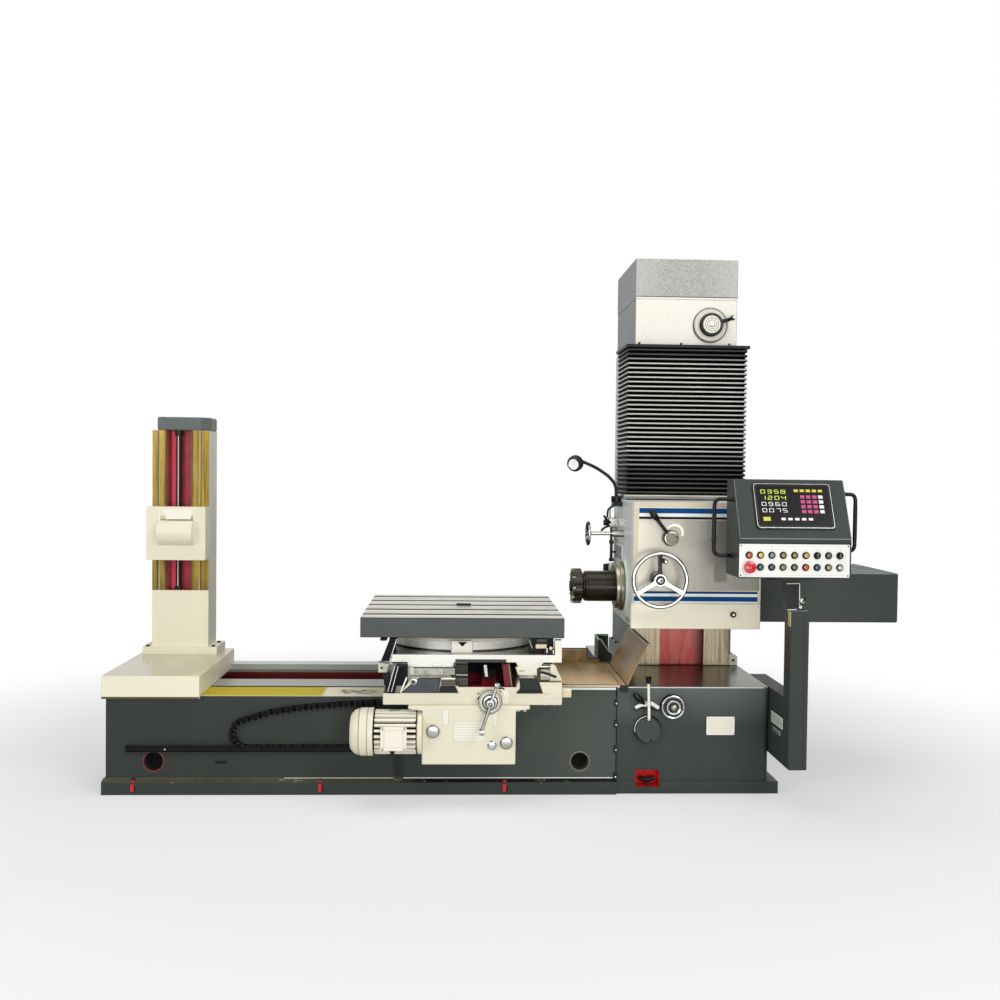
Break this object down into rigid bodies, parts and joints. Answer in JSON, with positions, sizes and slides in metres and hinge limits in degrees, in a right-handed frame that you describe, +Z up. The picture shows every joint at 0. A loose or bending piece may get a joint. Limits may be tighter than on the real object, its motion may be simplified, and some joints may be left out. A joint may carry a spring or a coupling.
{
  "type": "horizontal boring mill",
  "caption": "Table-type horizontal boring mill: long bed, turning T-slot table on cross slides, headstock with spindle on a column, tail column and control pendant.",
  "frame": {"origin": "on the floor under the table's turning axis, in the upright plane of the spindle's axis", "axes": "+X along the bed from the tail column to the headstock, +Y from the operator's front to the back, +Z up"},
  "size_m": [4.069, 1.7035, 2.818],
  "materials": {
    "machine_grey": "satin dark grey paint",
    "cream_paint": "satin cream paint",
    "pale_paint": "satin pale green-grey paint",
    "hammertone": "hammertone paint",
    "green_grey": "satin dark green-grey paint",
    "tan_paint": "tan paint, worn",
    "bellows_cloth": "matt black coated cloth",
    "black_plastic": "black",
    "handle_cover": "black sleeve on steel",
    "ground_steel": "ground, oiled",
    "chrome": "polished",
    "tool_steel": "blackened"
  },
  "bodies": {
    "frame": {"bed": "machine_grey", "chain_tray": "black_plastic", "drag_chain": "black_plastic", "column_base": "machine_grey", "column": "pale_paint", "column_cover": "cream_paint", "column_cap": "hammertone", "bellows": "bellows_cloth", "chip_tray": "tan_paint", "chip_guard": "tan_paint", "base_dial": "chrome", "pendant_post": "green_grey"},
    "cover_crank": {"cover_crank": "chrome"},
    "base_lever": {"base_lever": "machine_grey"},
    "headstock": {"headstock": "pale_paint", "headstock_lower_cover": "cream_paint", "bellows_foot": "hammertone", "spindle_tail_box": "machine_grey", "spindle_flange": "tool_steel", "lamp_arm": "black_plastic", "lamp_head": "black_plastic"},
    "handwheel": {"handwheel": "chrome"},
    "speed_lever": {"speed_lever": "chrome"},
    "side_handwheel": {"side_handwheel": "chrome"},
    "milling_spindle": {"spindle_sleeve": "tool_steel"},
    "boring_spindle": {"boring_spindle": "ground_steel", "face_mill": "tool_steel"},
    "saddle": {"lower_saddle": "cream_paint", "cross_screw": "ground_steel", "apron": "cream_paint", "feed_motor": "cream_paint"},
    "apron_crank": {"apron_crank": "chrome"},
    "cross_slide": {"upper_saddle": "cream_paint", "round_base": "cream_paint"},
    "table": {"table": "machine_grey"},
    "tail_column": {"tail_base": "cream_paint", "tail_column": "cream_paint", "tail_cap": "machine_grey", "tail_screw": "ground_steel"},
    "tail_block": {"tail_block": "cream_paint"},
    "pendant": {"pendant_bracket": "green_grey", "pendant_box": "green_grey", "screen_bezel": "black_plastic", "pendant_handle_left": "handle_cover", "pendant_handle_right": "handle_cover"}
  },
  "joints": [
    {"name": "saddle_slide", "type": "slide", "parent": "frame", "child": "saddle", "axis": [-1, 0, 0], "range_m": [0, 0.7]},
    {"name": "cross_slide", "type": "slide", "parent": "saddle", "child": "cross_slide", "axis": [0, 1, 0], "range_m": [-0.2, 0.2]},
    {"name": "table_turn", "type": "hinge", "parent": "cross_slide", "child": "table", "pos_m": [0, 0.04, 0.8048], "axis": [0, 0, 1], "continuous": true},
    {"name": "headstock_slide", "type": "slide", "parent": "frame", "child": "headstock", "axis": [0, 0, 1], "range_m": [-0.06, 0.5], "deforming": ["bellows"]},
    {"name": "spindle_spin", "type": "hinge", "parent": "headstock", "child": "milling_spindle", "pos_m": [0.646, 0, 1.018], "axis": [-1, 0, 0], "continuous": true},
    {"name": "spindle_feed", "type": "slide", "parent": "milling_spindle", "child": "boring_spindle", "axis": [-1, 0, 0], "range_m": [0, 0.35]},
    {"name": "handwheel_turn", "type": "hinge", "parent": "headstock", "child": "handwheel", "pos_m": [0.972, -0.42, 1.092], "axis": [0, -1, 0], "continuous": true},
    {"name": "speed_lever_swing", "type": "hinge", "parent": "headstock", "child": "speed_lever", "pos_m": [1.039, -0.34, 1.296], "axis": [0, -1, 0], "range_deg": [-30, 30]},
    {"name": "side_handwheel_turn", "type": "hinge", "parent": "headstock", "child": "side_handwheel", "pos_m": [0.668, 0.03, 1.296], "axis": [-1, 0, 0], "continuous": true},
    {"name": "tail_column_slide", "type": "slide", "parent": "frame", "child": "tail_column", "axis": [-1, 0, 0], "range_m": [-0.3, 0]},
    {"name": "tail_block_slide", "type": "slide", "parent": "tail_column", "child": "tail_block", "axis": [0, 0, 1], "range_m": [-0.15, 0.4]},
    {"name": "pendant_swivel", "type": "hinge", "parent": "frame", "child": "pendant", "pos_m": [1.606, -0.58, 0.9713], "axis": [0, 0, 1], "range_deg": [-20, 60]},
    {"name": "cover_crank_turn", "type": "hinge", "parent": "frame", "child": "cover_crank", "pos_m": [1.372, 0.28, 2.452], "axis": [0, -1, 0], "continuous": true},
    {"name": "apron_crank_turn", "type": "hinge", "parent": "saddle", "child": "apron_crank", "pos_m": [0.134, -0.56, 0.512], "axis": [0, -1, 0], "continuous": true},
    {"name": "base_lever_swing", "type": "hinge", "parent": "frame", "child": "base_lever", "pos_m": [0.938, -0.33, 0.33], "axis": [0, -1, 0], "range_deg": [-30, 30]}
  ]
}
